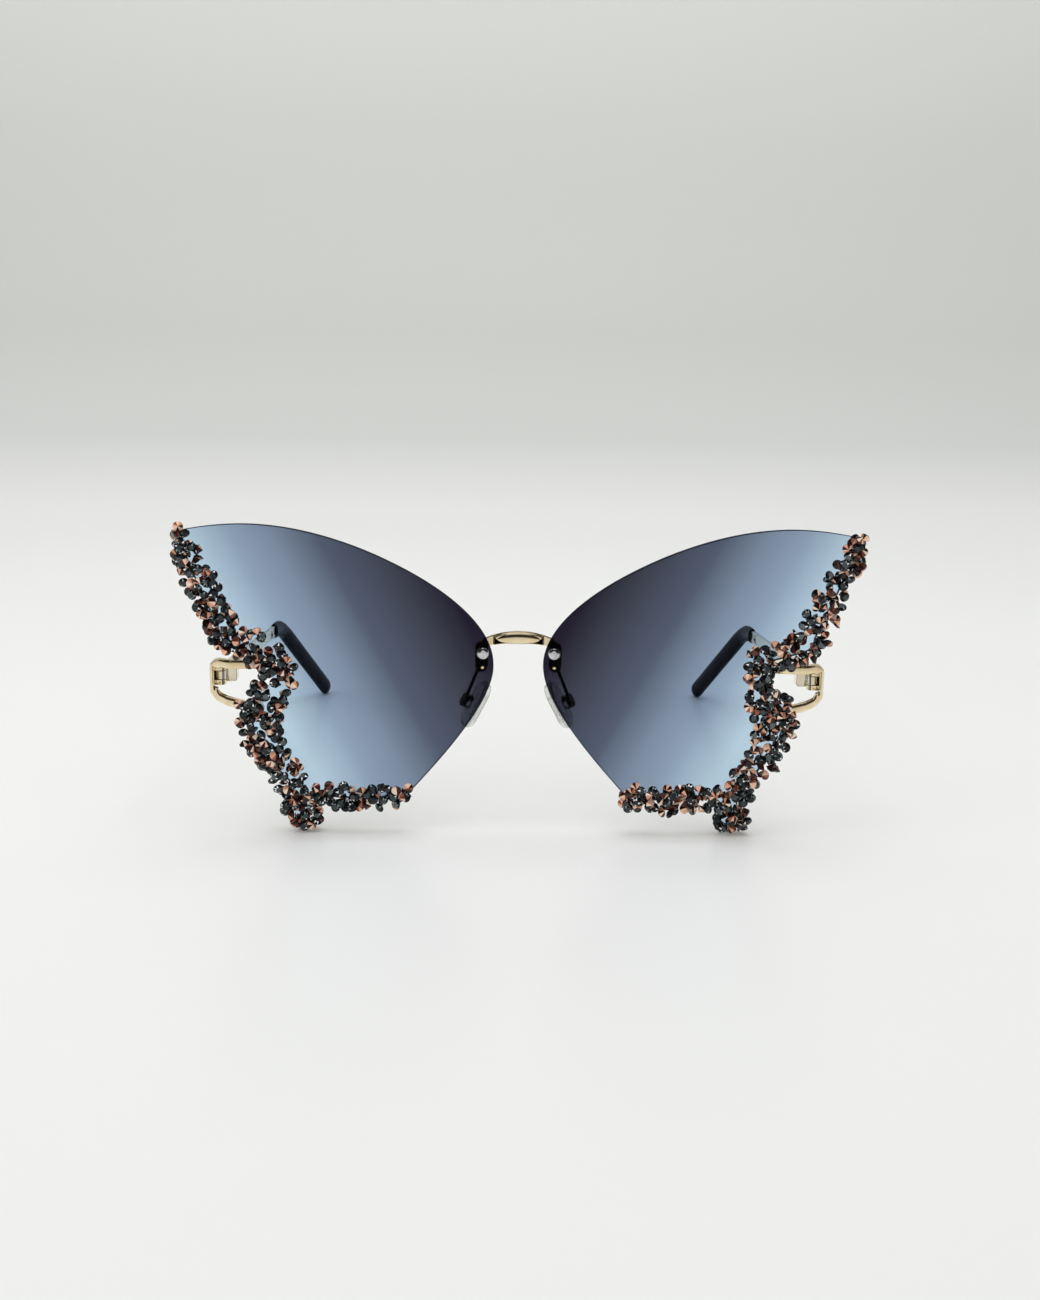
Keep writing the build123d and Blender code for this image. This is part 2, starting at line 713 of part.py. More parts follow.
def edge_walk():
    """Points along the crusted edge from the wing tip round to the nasal end, and the whole outline."""
    crusted = []
    whole = []
    for number, edge in enumerate(outline_edges()):
        for step in range(walk_steps):
            spot = edge.position_at(step / walk_steps)
            whole.append((spot.X, spot.Y))
            if number >= len(bare_edge_shares):
                crusted.append((spot.X, spot.Y))
    crusted.append(outline_point(wing_tip_share))
    return np.array(crusted[::-1]), np.array(whole)


class LensEdge:
    """The crusted edge of the left lens, for laying crystals along it."""

    def __init__(self):
        self.way, self.outline = edge_walk()
        steps = np.linalg.norm(np.diff(self.way, axis=0), axis=1)
        self.shares = np.concatenate([[0], np.cumsum(steps)]) / steps.sum()

    def at(self, share):
        """Point on the edge and the direction into the lens."""
        number = min(np.searchsorted(self.shares, share, side="right"), len(self.shares) - 1)
        low, high = self.way[number - 1], self.way[number]
        part = (share - self.shares[number - 1]) / (self.shares[number] - self.shares[number - 1])
        ahead = (high - low) / np.linalg.norm(high - low)
        return low + (high - low) * part, np.array([ahead[1], -ahead[0]])

    def outside_by(self, points):
        """Distance of front-view points from the outline, negative inside the lens."""
        start = self.outline
        end = np.roll(start, -1, axis=0)
        run = end - start
        to_point = points[:, None, :] - start[None]
        squares = (run**2).sum(axis=1)
        part = np.clip((to_point * run).sum(axis=2) / np.where(squares == 0, 1, squares), 0, 1)
        nearest = start + run * part[..., None]
        distance = np.linalg.norm(points[:, None, :] - nearest, axis=2).min(axis=1)
        above = (start[:, 1] > points[:, None, 1]) != (end[:, 1] > points[:, None, 1])
        rise = np.where(run[:, 1] == 0, 1, run[:, 1])
        crossing = start[:, 0] + (points[:, None, 1] - start[:, 1]) * run[:, 0] / rise
        inside = (above & (points[:, None, 0] < crossing)).sum(axis=1) % 2 == 1
        return np.where(inside, -distance, distance)


def lens_front(corners):
    """Y of the lens front straight behind or before each corner."""
    across = corners[:, 0] - optical_x
    up = corners[:, 2] - optical_z
    return lens_curve_radius - np.sqrt(lens_curve_radius**2 - across**2 - up**2)


def band_width_at(share):
    """Width of the crystal band at a share of the way along the edge."""
    stations, widths = zip(*band_width_shares)
    return band_width * np.interp(share, stations, widths)


def screw_head_body(x, z):
    """Prism that holds a screw head and its washer, for keeping crystals off it."""
    spot = lens_spot(x, z)
    radius = edge_head_diameter / 2 + washer_overhang
    half = (washer_thickness + edge_head_height) / 2
    corners = []
    normals = [(0, 0, 1), (0, 0, -1)]
    half_step = math.pi / head_body_sides
    rim = radius / math.cos(half_step)
    for corner in range(head_body_sides):
        angle = 2 * half_step * corner
        edge_angle = angle + half_step
        for height in (-half, half):
            corners.append((rim * math.cos(angle), rim * math.sin(angle), height))
        normals.append((math.cos(edge_angle), math.sin(edge_angle), 0))
    turn = np.column_stack([tuple(spot.x_dir), tuple(spot.y_dir), tuple(spot.z_dir)])
    middle = np.array(tuple(spot.origin + spot.z_dir * half))
    return Placed(middle, turn, np.array(corners), np.array(normals))


class Crust:
    """The crystals of one lens, laid one after another wherever they touch nothing."""

    def __init__(self, seed):
        self.random = random.Random(seed)
        self.edge = LensEdge()
        self.points = stone_points()
        self.normals = stone_normals(self.points)
        self.laid = [screw_head_body(*upper_tab_spot), screw_head_body(*lower_tab_spot)]
        self.middles = [body.middle for body in self.laid]
        self.stones = []
        self.shares = []
        self.reach_out = None

    def random_turn(self):
        """Any way up, with any spin."""
        height = self.random.uniform(-1, 1)
        angle = self.random.uniform(0, 2 * math.pi)
        flat = math.sqrt(1 - height**2)
        axis = np.array([flat * math.cos(angle), height, flat * math.sin(angle)])
        return turned(axis, self.random.uniform(0, 2 * math.pi))

    def free(self, stone):
        """True where the stone touches no screw head and no stone laid before."""
        if stone.corners[:, 2].min() < ground_gap:
            return False
        if self.reach_out is not None and stone.corners[:, 0].max() > self.reach_out:
            return False
        near = np.linalg.norm(np.array(self.middles) - stone.middle, axis=1) < 2 * stone_diameter
        return all(stone.clear_of(self.laid[number], stone_gap) for number in np.nonzero(near)[0])

    def keep(self, stone, share):
        self.laid.append(stone)
        self.middles.append(stone.middle)
        self.stones.append(stone)
        self.shares.append(share)

    def lay_foot(self):
        """The stone under the tail, table down, on which the front stands."""
        x, z = outline_point(tail_foot_shares[1])
        middle = np.array([x, 0, stone_diameter * stone_crown_share])
        depth = lens_front(middle[None])[0] + lens_thickness / 2
        middle[1] = depth
        turn = turned(np.array([0, 0, -1.0]), math.pi / stone_sides)
        share = self.edge.shares[np.abs(self.edge.way - np.array([x, z])).sum(axis=1).argmin()]
        self.keep(Placed(middle, turn, self.points, self.normals), share)

    def lay_tip(self):
        """The outermost stone, beside the wing tip with its back to the lens."""
        x, z = outline_point(wing_tip_share)
        drop = stone_radius
        reach = stone_diameter * stone_pavilion_share + stone_seat_gap
        middle = np.array([x + reach, 0, z - drop])
        middle[1] = lens_front(middle[None])[0] + lens_thickness / 2
        turn = turned(np.array([1.0, 0, 0]), 0)
        stone = Placed(middle, turn, self.points, self.normals)
        self.keep(stone, 0)
        self.reach_out = stone.corners[:, 0].max() - stone_gap

    def lay_rim(self, tries):
        """Stones that stand against the edge of the lens."""
        for _ in range(tries):
            share = self.random.random()
            spot, inward = self.edge.at(share)
            turn = self.random_turn()
            level = lens_thickness * self.random.uniform(*rim_level_shares)
            away = stone_radius * self.random.uniform(*rim_away_shares)
            middle = np.array([spot[0] - inward[0] * away, 0, spot[1] - inward[1] * away])
            middle[1] = lens_front(middle[None])[0] + level
            stone = Placed(middle, turn, self.points, self.normals)
            ring = stone.corners[stone_sides:]
            flat = np.vstack([stone.corners, (ring + np.roll(ring, 1, axis=0)) / 2])[:, [0, 2]]
            distance = self.edge.outside_by(flat).min()
            if distance < stone_seat_gap or distance > 3 * stone_seat_gap + stone_gap:
                continue
            if (stone.corners[:, 1] > lens_front(stone.corners) + lens_thickness).any():
                continue
            if self.free(stone):
                self.keep(stone, share)

    def lay_front(self, tries, levels):
        """Stones on the face of the lens, the later ones seated higher between the first."""
        for _ in range(tries):
            share = self.random.random()
            spot, inward = self.edge.at(share)
            inset = self.random.uniform(-band_overhang, band_width_at(share))
            place = spot + inward * inset
            if inset > 0 and self.edge.outside_by(place[None])[0] > 0:
                continue
            turn = self.random_turn()
            middle = np.array([place[0], 0, place[1]])
            stone = Placed(middle, turn, self.points, self.normals)
            seat = (lens_front(stone.corners) - stone.corners[:, 1]).min() - stone_seat_gap
            for level in levels:
                raised = middle + np.array([0, seat - stone_diameter * level, 0])
                stone = Placed(raised, turn, self.points, self.normals)
                if self.free(stone):
                    self.keep(stone, share)
                    break

    def lay_all(self):
        self.lay_foot()
        self.lay_tip()
        self.lay_rim(rim_tries)
        self.lay_front(front_tries, (0,))
        self.lay_front(pile_tries, pile_level_shares)

    def groups(self):
        """The crystals of each stretch of the edge, as solids."""
        shape = make_stone()
        grouped = {name: [] for name, _ in stretch_end_shares}
        for stone, share in zip(self.stones, self.shares):
            place = Plane(
                origin=tuple(stone.middle), x_dir=tuple(stone.turn[:, 0]), z_dir=tuple(stone.turn[:, 2])
            )
            name = next(name for name, end in stretch_end_shares if share <= end)
            grouped[name].append(shape.moved(place.location))
        return grouped


def both_sides(name, shapes):
    """The node on the wearer's left as modelled, and its mirror image on the right."""
    flipped = [mirror(shape, about=Plane.YZ) for shape in shapes]
    return {f"{name}_left": shapes, f"{name}_right": flipped}


def all_nodes():
    """Every node of the glasses, as lists of solids in the lens frame."""
    nodes = {"bridge": [make_bridge()]}
    nodes |= both_sides("lens", [make_lens()])
    bridge_head = domed_head(screw_head_diameter, screw_head_height)
    bridge_spot = (bridge_screw_x, bridge_screw_height)
    bridge_stack = mount_stack(*bridge_spot, bridge_head, screw_head_diameter, bridge_thickness)
    edge_head = flat_head(edge_head_diameter, edge_head_height)
    edge_stacks = [
        mount_stack(*spot, edge_head, edge_head_diameter, endpiece_thickness)
        for spot in (upper_tab_spot, lower_tab_spot)
    ]
    for number, piece in enumerate(("screw", "washer", "nut")):
        nodes |= both_sides(f"bridge_{piece}", [bridge_stack[number]])
        nodes |= both_sides(f"endpiece_{piece}s", [stack[number] for stack in edge_stacks])
    nodes |= both_sides("nose_pad_arm", [make_pad_arm()])
    nodes |= both_sides("nose_pad_screw", [make_pad_screw()])
    nodes |= both_sides("nose_pad", [make_pad()])
    nodes |= both_sides("endpiece", [make_endpiece()])
    nodes |= both_sides("hinge_screw", [make_hinge_screw()])
    nodes |= both_sides("temple", [make_temple()])
    nodes |= both_sides("temple_tip", [make_tip()])
    for side, seed in (("left", 11), ("right", 23)):
        crust = Crust(seed)
        crust.lay_all()
        print(side, "crystals", len(crust.stones))
        for stretch, solids in crust.groups().items():
            name = f"crystals_{stretch}"
            nodes |= {f"{name}_{side}": both_sides(name, solids)[f"{name}_{side}"]}
    return nodes


def main():
    """Write one STEP file for each node, with the origin on the ground under the middle of the glasses."""
    nodes = all_nodes()
    whole = Compound([solid for shapes in nodes.values() for shape in shapes for solid in shape.solids()])
    box = whole.bounding_box()
    shift = -(box.min.Y + box.max.Y) / 2
    os.makedirs("parts", exist_ok=True)
    for name, shapes in nodes.items():
        solids = [solid for shape in shapes for solid in shape.solids()]
        moved = Pos(0, shift, 0) * (solids[0] if len(solids) == 1 else Compound(solids))
        export_step(moved, f"parts/{name}.step")
    size = box.size
    print("size", round(size.X, 2), round(size.Y, 2), round(size.Z, 2), "shift", round(shift, 3))
    print("x", round(box.min.X, 3), round(box.max.X, 3), "z", round(box.min.Z, 3))


if __name__ == "__main__":
    main()
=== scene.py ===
import math
import random

import bmesh
import bpy
import numpy as np
from mathutils import Matrix, Vector


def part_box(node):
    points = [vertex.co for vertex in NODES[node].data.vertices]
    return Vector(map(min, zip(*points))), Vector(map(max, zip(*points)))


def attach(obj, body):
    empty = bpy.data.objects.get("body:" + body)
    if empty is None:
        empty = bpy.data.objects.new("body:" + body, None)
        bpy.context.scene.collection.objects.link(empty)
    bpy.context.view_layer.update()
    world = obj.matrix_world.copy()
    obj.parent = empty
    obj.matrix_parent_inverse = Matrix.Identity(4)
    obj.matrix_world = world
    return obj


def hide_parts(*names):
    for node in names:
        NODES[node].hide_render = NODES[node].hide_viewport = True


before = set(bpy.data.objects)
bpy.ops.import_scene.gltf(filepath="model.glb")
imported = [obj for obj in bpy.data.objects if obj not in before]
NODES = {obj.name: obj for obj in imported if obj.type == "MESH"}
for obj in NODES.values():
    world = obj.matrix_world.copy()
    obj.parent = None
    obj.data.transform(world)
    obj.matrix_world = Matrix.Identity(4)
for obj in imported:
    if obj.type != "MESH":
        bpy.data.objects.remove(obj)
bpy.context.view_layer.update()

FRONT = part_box("lens_left")[0].y
MM = 0.001
SIDES = ("left", "right")
CRYSTAL_GROUPS = ("wing", "bay", "side", "tail", "hem")
BLACK = (0, 0, 0, 1)
WHITE = (1, 1, 1, 1)

# Camera: distance and aim in millimetres, turns in degrees, clipping in metres
IMAGE_HEIGHT = 1300
FOCAL_PIXELS = 1506
SENSOR = 36
EYE_DISTANCE = 360
EYE_ELEVATION = 13.0
EYE_YAW = -1.01
EYE_ROLL = 0.81
AIM_ACROSS = 0.29
AIM_HEIGHT = 46.6
CLIP_START = 0.01
CLIP_END = 20

# Levels that most of a noise lies between
NOISE_LOW = 0.3
NOISE_HIGH = 0.7

# Share of white in the light that a clear piece lets through to its shadow
SHADOW_FADE = 0.9

# Plated metal: stretch of its polishing marks, and its roughness as shares of the one given
POLISH_STRETCH = (1, 0.12, 1)
POLISH_ROUGHNESS = (0.85, 1.2)
WEAR_PLACES = (0.35, 0.62)

# Clear plastic and silicone: shade of their clouds, and roughness as shares of the one given
CLOUD_SHADE = 0.93
CLOUD_PLACES = (0.3, 0.7)
CLOUD_ROUGHNESS = (0.6, 1.6)

# Curve of the lens front and its middle in the front view, in millimetres
LENS_RADIUS = 265.0
OPTICAL_OUT = 43.6
OPTICAL_HEIGHT = 41.61

# Place in the lens's tint, and its change for each millimetre outwards and upwards
TINT_START = 0.28
TINT_OUT = 0.0174
TINT_UP = -0.0094

# Faces of the lens that look this little forwards are its edge
EDGE_FLATNESS = 0.5
# Painted shade: the lens's cut rim is painted near-black where the edge looks dark
PAINTED_EDGE_SHADE = (0.004, 0.004, 0.006, 1)
SMEAR_LEVELS = (0.4, 0.75)
SMEAR_ROUGHNESS = 0.025

# Cut stone, as shares of its diameter
CROWN_SIDES = 8
GIRDLE_SIDES = 2 * CROWN_SIDES
HALF_SIDE = 0.5
GIRDLE_RADIUS = 0.5
TABLE_SHARE = 0.27
CROWN_SHARE = 0.20
PAVILION_SHARE = 0.47
GIRDLE_SHARE = 0.035

# Tones of a stone's facets, from 0 for dark to 1 for a glint: the stones' dark glass and
# rose-gold foil, with painted reflections in them: light and dark facets, dark outlines and white
# painted glints
TABLE_TONES = (0.35, 0.72)
BEZEL_TONES = (0.05, 0.15, 0.3, 0.42, 0.55, 0.7, 0.82)
# Painted dark reflection: the small facets by the girdle are painted dark as an outline round
# each stone
HALF_TONES = (0.0, 0.3)
MAIN_TONES = (0.0, 0.04, 0.10, 0.18, 0.28, 0.45, 0.70, 0.84, 0.95)
# Painted shade: the girdle band is painted dark as part of that outline
GIRDLE_TONE = 0.05
# Painted highlights: white glints painted on this share of the crown's side facets
PAINTED_GLINT_TONE = 1.0
PAINTED_GLINT_SHARE = 0.11

# Corners of the frame's stones that are closer than this are one
MERGE_DISTANCE = 0.004 * MM

# Stones piled on the frame's own ones, in millimetres; a gap below 0 lets them sink in
CHANCE_SEED = 7
STONE_DIAMETER = 2.45
PILE_TRIES = 900
PILE_REACH = 1.4
PILE_LEVELS = (0.0, 0.3, 0.6, 0.9, 1.2, 1.5, 1.8)
PILE_GAP = -0.20
SEAT_GAP = 0.06
GROUND_GAP = 0.2

# Share of piled stones whose crown or point looks forwards, and the Y of the crown's direction
CROWN_FORWARD = 0.42
CROWN_LOOKS = (-1, -0.75)
POINT_FORWARD = 0.38
POINT_LOOKS = (0.7, 1)

# Stones over the screw heads of the end pieces, in millimetres
TAB_SPOTS = ((57.0, 41.8), (63.2, 30.5))
TAB_CLEAR = 2.5
TAB_LIFT = 0.9
TAB_STONES = 14
TAB_REACH = 1.5

# Rounding of corners, in millimetres and degrees
WELD_DISTANCE = 0.001
FLAT_ANGLE = 1.0
SHARP_ANGLE = 35.0
LOOP_ROUNDING = 0.78
LOOP_STEPS = 5
LOOP_DEEPEST = -58.4
FORWARD_SHARE = 0.6
BRIDGE_ROUNDING = 0.30
TEMPLE_ROUNDING = 0.16
SOFT_STEPS = 3

# Dome over the head of the bridge screw, in millimetres
DOME_FOOT = 0.25
DOME_RADIUS = 1.42
DOME_RIM = 0.32
DOME_CROWN = 0.62
DOME_STEPS = 8
DOME_SIDES = 32

# Oval plate of the bridge, in millimetres
PLATE_DROP = 1.5
PLATE_SEAT = 0.1
PLATE_CROWN = 0.70
PLATE_LENGTH = 10.4
PLATE_HEIGHT = 2.5
PLATE_ARCH = 0.0154
PLATE_STEPS = 10
PLATE_SIDES = 64

# Floor and backdrop, in metres
FLOOR_NEAR = -30.0
FLOOR_FAR = 0.45
FLOOR_HALF_WIDTH = 12.0
SWEEP_RADIUS = 0.45
SWEEP_STEPS = 24
BACKDROP_TOP = 2.2

# Painted shade: the floor is painted darker towards the camera, down to this share of its colour,
# reached this far in front of the origin, in millimetres
NEAR_PAINTED_SHADE = 0.925
NEAR_PAINTED_SHADE_AT = -350.0

# Plain surroundings
AMBIENT_COLOUR = (0.90, 0.91, 0.92, 1)
AMBIENT_STRENGTH = 0.76


def add_object(name, data):
    """A new object in the scene."""
    piece = bpy.data.objects.new(name, data)
    bpy.context.scene.collection.objects.link(piece)
    return piece


def smoothed(mesh):
    for polygon in mesh.polygons:
        polygon.use_smooth = True


# Camera


def make_camera():
    """The photographed view: in front of the lenses and a little above them."""
    elevation = math.radians(EYE_ELEVATION)
    yaw = math.radians(EYE_YAW)
    roll = math.radians(EYE_ROLL)
    back = Vector((
        math.sin(yaw) * math.cos(elevation),
        -math.cos(yaw) * math.cos(elevation),
        math.sin(elevation),
    ))
    level_right = Vector((math.cos(yaw), math.sin(yaw), 0))
    level_up = back.cross(level_right)
    right = level_right * math.cos(roll) + level_up * math.sin(roll)
    up = level_up * math.cos(roll) - level_right * math.sin(roll)
    aim = Vector((AIM_ACROSS * MM, FRONT, AIM_HEIGHT * MM))
    data = bpy.data.cameras.new("camera")
    data.sensor_width = SENSOR
    data.lens = FOCAL_PIXELS * SENSOR / IMAGE_HEIGHT
    data.clip_start = CLIP_START
    data.clip_end = CLIP_END
    camera = add_object("camera", data)
    turn = Matrix((right, up, back)).transposed().to_4x4()
    camera.matrix_world = Matrix.Translation(aim + back * EYE_DISTANCE * MM) @ turn
    bpy.context.scene.camera = camera


# Material helpers


class Nodes:
    """A short way to add and join the nodes of one material or world."""

    def __init__(self, tree):
        self.tree = tree
        tree.nodes.clear()

    def add(self, kind, settings=None, **inputs):
        """A node whose inputs are given by name, or by number as i0, i1 and so on."""
        node = self.tree.nodes.new("ShaderNode" + kind)
        for name, value in (settings or {}).items():
            setattr(node, name, value)
        for name, value in inputs.items():
            self.put(node, name.replace("_", " "), value)
        return node

    def put(self, node, name, value):
        by_number = name[0] == "i" and name[1:].isdigit()
        socket = node.inputs[int(name[1:]) if by_number else name]
        if isinstance(value, bpy.types.NodeSocket):
            self.tree.links.new(value, socket)
        else:
            socket.default_value = value

    def place(self):
        """The point's place in the shared frame, in millimetres."""
        place = self.add("TexCoord").outputs["Object"]
        scaled = self.add("VectorMath", {"operation": "SCALE"}, i0=place, Scale=1 / MM)
        return scaled.outputs["Vector"]

    def ramp(self, factor, stops):
        """The colour at a share of the way along stops, each a share and a linear colour."""
        node = self.add("ValToRGB", Fac=factor)
        elements = node.color_ramp.elements
        while len(elements) < len(stops):
            elements.new(0.5)
        for element, (place, colour) in zip(elements, stops):
            element.position = place
            element.color = (*colour, 1)
        return node.outputs["Color"]

    def maths(self, operation, first, second=0.0, third=0.0):
        node = self.add("Math", {"operation": operation}, i0=first, i1=second, i2=third)
        return node.outputs["Value"]

    def noise(self, vector, scale, detail):
        node = self.add("TexNoise", Vector=vector, Scale=scale, Detail=detail)
        return node.outputs["Fac"]

    def blend(self, share, first, second):
        node = self.add("Mix", {"data_type": "RGBA"}, i0=share, i6=first, i7=second)
        return node.outputs[2]

    def remap(self, value, low, high, new_low, new_high):
        node = self.add("MapRange", i0=value, i1=low, i2=high, i3=new_low, i4=new_high)
        return node.outputs["Result"]

    def spread(self, noise, low, high):
        """The noise with its usual levels brought to low and high."""
        return self.remap(noise, NOISE_LOW, NOISE_HIGH, low, high)

    def bump(self, height, strength, depth):
        node = self.add("Bump", Height=height, Strength=strength, Distance=depth * MM)
        return node.outputs["Normal"]

    def principled(self, **inputs):
        return self.add("BsdfPrincipled", **inputs).outputs["BSDF"]

    def mix_shaders(self, share, first, second):
        return self.add("MixShader", i0=share, i1=first, i2=second).outputs["Shader"]

    def surface(self, shader):
        self.add("OutputMaterial", Surface=shader)


def grey(level):
    return (level, level, level)


def srgb(red, green, blue):
    """Linear colour of a colour written in 0 to 255 steps."""
    out = []
    for step in (red, green, blue):
        share = step / 255
        out.append(share / 12.92 if share <= 0.04045 else ((share + 0.055) / 1.055) ** 2.4)
    return tuple(out)


def new_material(name):
    material = bpy.data.materials.new(name)
    material.use_nodes = True
    return material, Nodes(material.node_tree)


# Colours along the ramps

TIP_STOPS = [
    (0.4, (0.001, 0.0015, 0.003)),
    (0.7, (0.002, 0.003, 0.006)),
]
TINT_STOPS = [
    (0.00, srgb(38, 33, 49)),
    (0.20, srgb(69, 72, 87)),
    (0.43, srgb(89, 99, 120)),
    (0.62, srgb(134, 149, 173)),
    (0.78, srgb(152, 172, 197)),
    (1.00, srgb(195, 220, 239)),
]
# Crown colours by tone: dark grey-green glass, with painted reflections up to white painted
# glints
CROWN_STOPS = [
    (0.00, srgb(5, 5, 7)),
    (0.42, srgb(26, 30, 33)),
    (0.66, srgb(72, 80, 82)),
    (0.84, srgb(146, 158, 158)),
    (0.93, srgb(206, 186, 168)),
    (1.00, srgb(255, 255, 255)),
]
# Foil colours by tone: rose gold, with painted reflections from dark red-brown up to near-white
# painted highlights
FOIL_STOPS = [
    (0.00, srgb(14, 6, 6)),
    (0.25, srgb(70, 30, 24)),
    (0.50, srgb(170, 98, 72)),
    (0.75, srgb(244, 182, 148)),
    (0.92, srgb(255, 216, 186)),
    (1.00, srgb(255, 244, 232)),
]
# Painted shade by height in metres: pale at the floor, the backdrop painted greyer above it
BACKDROP_PAINTED_SHADE_STOPS = [
    (0.000, srgb(243, 243, 241)),
    (0.012, srgb(232, 232, 230)),
    (0.035, srgb(216, 217, 214)),
    (0.105, srgb(211, 212, 208)),
    (0.180, srgb(215, 216, 212)),
    (0.260, srgb(219, 220, 216)),
    (0.400, srgb(233, 234, 229)),
]
# By how far up a reflection looks
ROOM_STOPS = [
    (0.00, grey(0.70)),
    (0.06, grey(0.60)),
    (0.14, grey(0.04)),
    (0.45, grey(0.03)),
    (0.92, grey(0.05)),
    (0.97, grey(0.95)),
    (1.00, grey(1.20)),
]


# Metals, plastic and silicone


def metal_material(name, colour, dark, roughness, grain):
    """Plated metal: fine polishing marks along the piece and cloudy wear in its colour."""
    material, nodes = new_material(name)
    place = nodes.place()
    stretched = nodes.add("Mapping", Vector=place, Scale=POLISH_STRETCH)
    brushed = nodes.noise(stretched.outputs["Vector"], scale=grain, detail=3)
    clouds = nodes.noise(place, scale=0.35, detail=3)
    smooth, rough = (roughness * share for share in POLISH_ROUGHNESS)
    nodes.surface(nodes.principled(
        Base_Color=nodes.ramp(clouds, list(zip(WEAR_PLACES, (dark, colour)))),
        Metallic=1.0,
        Roughness=nodes.spread(brushed, smooth, rough),
        Normal=nodes.bump(brushed, strength=0.03, depth=0.02),
    ))
    return material


def tip_material():
    """Black moulded sleeve: glossy, with faint ripples and a blue-black tint."""
    material, nodes = new_material("tip_plastic")
    place = nodes.place()
    ripple = nodes.noise(place, scale=0.5, detail=2)
    specks = nodes.noise(place, scale=9, detail=2)
    nodes.surface(nodes.principled(
        Base_Color=nodes.ramp(specks, TIP_STOPS),
        Roughness=nodes.spread(specks, 0.22, 0.34),
        Specular_IOR_Level=0.06,
        Normal=nodes.bump(ripple, strength=0.12, depth=0.1),
    ))
    return material


def let_light_through(nodes, shader, tint):
    """Lamps shine through the clear piece, so that its shadow stays faint."""
    faint = nodes.blend(SHADOW_FADE, tint, WHITE)
    clear = nodes.add("BsdfTransparent", Color=faint).outputs["BSDF"]
    in_shadow = nodes.add("LightPath").outputs["Is Shadow Ray"]
    return nodes.mix_shaders(in_shadow, shader, clear)


def clear_material(name, colour, roughness, ior):
    """Clear plastic or silicone, slightly cloudy inside."""
    material, nodes = new_material(name)
    place = nodes.place()
    clouds = nodes.noise(place, scale=0.9, detail=3)
    shaded = tuple(level * CLOUD_SHADE for level in colour)
    tint = nodes.ramp(clouds, list(zip(CLOUD_PLACES, (shaded, colour))))
    smooth, rough = (roughness * share for share in CLOUD_ROUGHNESS)
    shader = nodes.principled(
        Base_Color=tint,
        Roughness=nodes.spread(nodes.noise(place, scale=4, detail=3), smooth, rough),
        IOR=ior,
        Transmission_Weight=1.0,
    )
    nodes.surface(let_light_through(nodes, shader, tint))
    return material


# Lens


def lens_material():
    """Sheet lens, tinted dark grey-violet by the nose and pale blue at the outer lower edge; its
    cut rim is painted near-black as painted shade.
    """
    material, nodes = new_material("lens_tint")
    place = nodes.place()
    axes = nodes.add("SeparateXYZ", Vector=place)
    out = nodes.maths("ABSOLUTE", axes.outputs["X"])
    across = nodes.maths("MULTIPLY_ADD", out, TINT_OUT, TINT_START)
    fade = nodes.maths("MULTIPLY_ADD", axes.outputs["Z"], TINT_UP, across)
    facing = nodes.add("SeparateXYZ", Vector=nodes.add("NewGeometry").outputs["True Normal"])
    flatness = nodes.maths("ABSOLUTE", facing.outputs["Y"])
    on_edge = nodes.maths("LESS_THAN", flatness, EDGE_FLATNESS)
    # Painted shade: the rim faces take a near-black colour
    tint = nodes.blend(on_edge, nodes.ramp(fade, TINT_STOPS), PAINTED_EDGE_SHADE)
    smears = nodes.noise(place, scale=0.08, detail=4)
    smear_rough = nodes.remap(smears, *SMEAR_LEVELS, 0.0, SMEAR_ROUGHNESS)
    shader = nodes.principled(
        Base_Color=tint,
        Roughness=nodes.maths("MAXIMUM", smear_rough, on_edge),
        IOR=1.1,
        Transmission_Weight=1.0,
        Specular_IOR_Level=0.05,
    )
    nodes.surface(let_light_through(nodes, shader, tint))
    return material


def lens_front_at(x, z):
    """Y of the lens front at a place in the front view, all in millimetres."""
    across = abs(x) - OPTICAL_OUT
    up = z - OPTICAL_HEIGHT
    dip = LENS_RADIUS - math.sqrt(LENS_RADIUS**2 - across**2 - up**2)
    return FRONT / MM + dip


def lens_direction(x, z):
    """Outward direction of the lens front at a place in the front view, in millimetres."""
    across = abs(x) - OPTICAL_OUT
    up = z - OPTICAL_HEIGHT
    forward = -math.sqrt(LENS_RADIUS**2 - across**2 - up**2)
    return Vector((math.copysign(1, x) * across, forward, up)).normalized()


# Crystals


def tone_tint(nodes, stops):
    """The colour that a facet's tone picks from the stops, painted reflections and glints
    included.
    """
    tone = nodes.add("Attribute", {"attribute_name": "tone"}).outputs["Fac"]
    return nodes.ramp(tone, stops)


def crown_material():
    """Grey-green glass over its foil, with painted reflections: each facet's tone, from dark to a
    white painted glint, is painted into its colour.
    """
    material, nodes = new_material("crystal_crown")
    specks = nodes.noise(nodes.place(), scale=3, detail=2)
    nodes.surface(nodes.principled(
        Base_Color=tone_tint(nodes, CROWN_STOPS),
        Roughness=nodes.spread(specks, 0.02, 0.08),
        IOR=1.62,
        Specular_IOR_Level=0.2,
    ))
    return material


def foil_material():
    """Rose-gold foil on the pointed back of each stone, with painted reflections: its facets are
    painted from dark red-brown to pale peach highlights, and it is barely metallic so that these
    show.
    """
    material, nodes = new_material("crystal_foil")
    specks = nodes.noise(nodes.place(), scale=6, detail=3)
    nodes.surface(nodes.principled(
        Base_Color=tone_tint(nodes, FOIL_STOPS),
        Metallic=0.15,
        Roughness=nodes.spread(specks, 0.10, 0.28),
        Normal=nodes.bump(specks, strength=0.15, depth=0.02),
    ))
    return material


